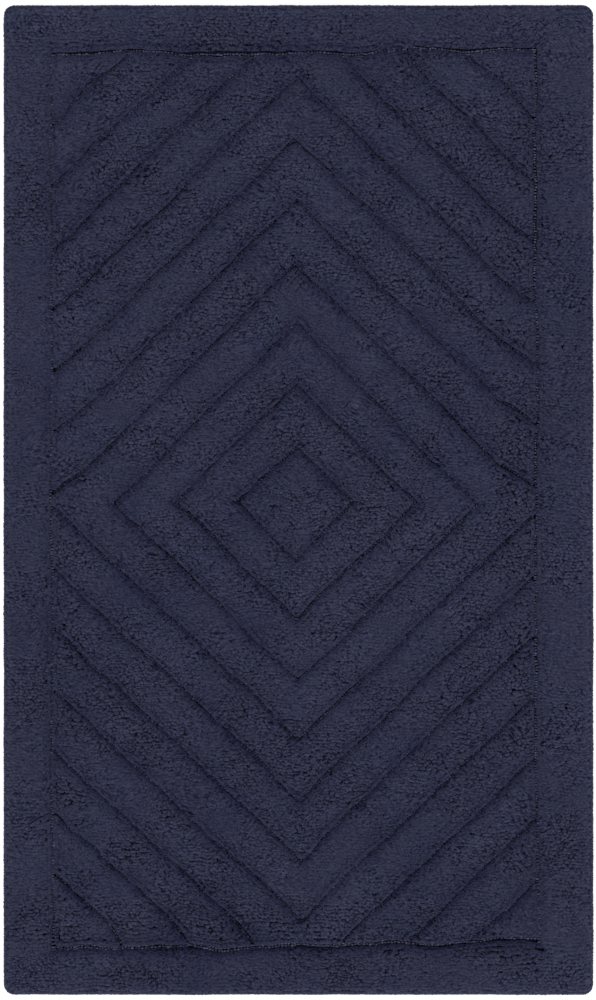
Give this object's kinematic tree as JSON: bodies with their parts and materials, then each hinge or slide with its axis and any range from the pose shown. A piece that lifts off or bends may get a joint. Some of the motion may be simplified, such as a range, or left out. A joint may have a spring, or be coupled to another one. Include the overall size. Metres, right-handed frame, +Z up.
{
  "type": "bath mat",
  "caption": "Rectangular tufted cotton bath mat, cut pile parted by sunk lines into a border and nested diamonds, with a taped hem below.",
  "frame": {"origin": "on the floor under the middle of the mat", "axes": "+Y along the mat's length, +X across its width, +Z up out of the pile"},
  "size_m": [0.595, 1, 0.0175],
  "materials": {
    "pile_yarn": "cut cotton pile, matt, deep navy",
    "loop_yarn": "uncut cotton loops, matt, deep navy",
    "backing_cloth": "plain woven cotton backing cloth, dyed navy",
    "latex": "thin stippled latex coat, off-white",
    "hem_tape": "herringbone cotton tape, navy",
    "sewing_thread": "twisted sewing thread, navy",
    "label_cloth": "blank satin ribbon, off-white"
  },
  "bodies": {
    "root": {"backing_cloth": "backing_cloth", "care_label": "label_cloth", "hem_tape_left": "hem_tape", "hem_tape_lower": "hem_tape", "hem_tape_right": "hem_tape", "hem_tape_upper": "hem_tape", "hem_thread_inner": "sewing_thread", "hem_thread_outer": "sewing_thread", "latex_coat": "latex", "loop_chevron_4_lower": "loop_yarn", "loop_chevron_4_upper": "loop_yarn", "loop_chevron_5_lower": "loop_yarn", "loop_chevron_5_upper": "loop_yarn", "loop_chevron_6_lower": "loop_yarn", "loop_chevron_6_upper": "loop_yarn", "loop_chevron_7_lower": "loop_yarn", "loop_chevron_7_upper": "loop_yarn", "loop_corner_10_lower_left": "loop_yarn", "loop_corner_10_lower_right": "loop_yarn", "loop_corner_10_upper_left": "loop_yarn", "loop_corner_10_upper_right": "loop_yarn", "loop_corner_8_lower_left": "loop_yarn", "loop_corner_8_lower_right": "loop_yarn", "loop_corner_8_upper_left": "loop_yarn", "loop_corner_8_upper_right": "loop_yarn", "loop_corner_9_lower_left": "loop_yarn", "loop_corner_9_lower_right": "loop_yarn", "loop_corner_9_upper_left": "loop_yarn", "loop_corner_9_upper_right": "loop_yarn", "loop_frame": "loop_yarn", "loop_ring_1": "loop_yarn", "loop_ring_2": "loop_yarn", "loop_ring_3": "loop_yarn", "pile_border": "pile_yarn", "pile_chevron_4_lower": "pile_yarn", "pile_chevron_4_upper": "pile_yarn", "pile_chevron_5_lower": "pile_yarn", "pile_chevron_5_upper": "pile_yarn", "pile_chevron_6_lower": "pile_yarn", "pile_chevron_6_upper": "pile_yarn", "pile_chevron_7_lower": "pile_yarn", "pile_chevron_7_upper": "pile_yarn", "pile_corner_10_lower_left": "pile_yarn", "pile_corner_10_lower_right": "pile_yarn", "pile_corner_10_upper_left": "pile_yarn", "pile_corner_10_upper_right": "pile_yarn", "pile_corner_8_lower_left": "pile_yarn", "pile_corner_8_lower_right": "pile_yarn", "pile_corner_8_upper_left": "pile_yarn", "pile_corner_8_upper_right": "pile_yarn", "pile_corner_9_lower_left": "pile_yarn", "pile_corner_9_lower_right": "pile_yarn", "pile_corner_9_upper_left": "pile_yarn", "pile_corner_9_upper_right": "pile_yarn", "pile_ring_0": "pile_yarn", "pile_ring_1": "pile_yarn", "pile_ring_2": "pile_yarn", "pile_ring_3": "pile_yarn"}
  },
  "joints": []
}
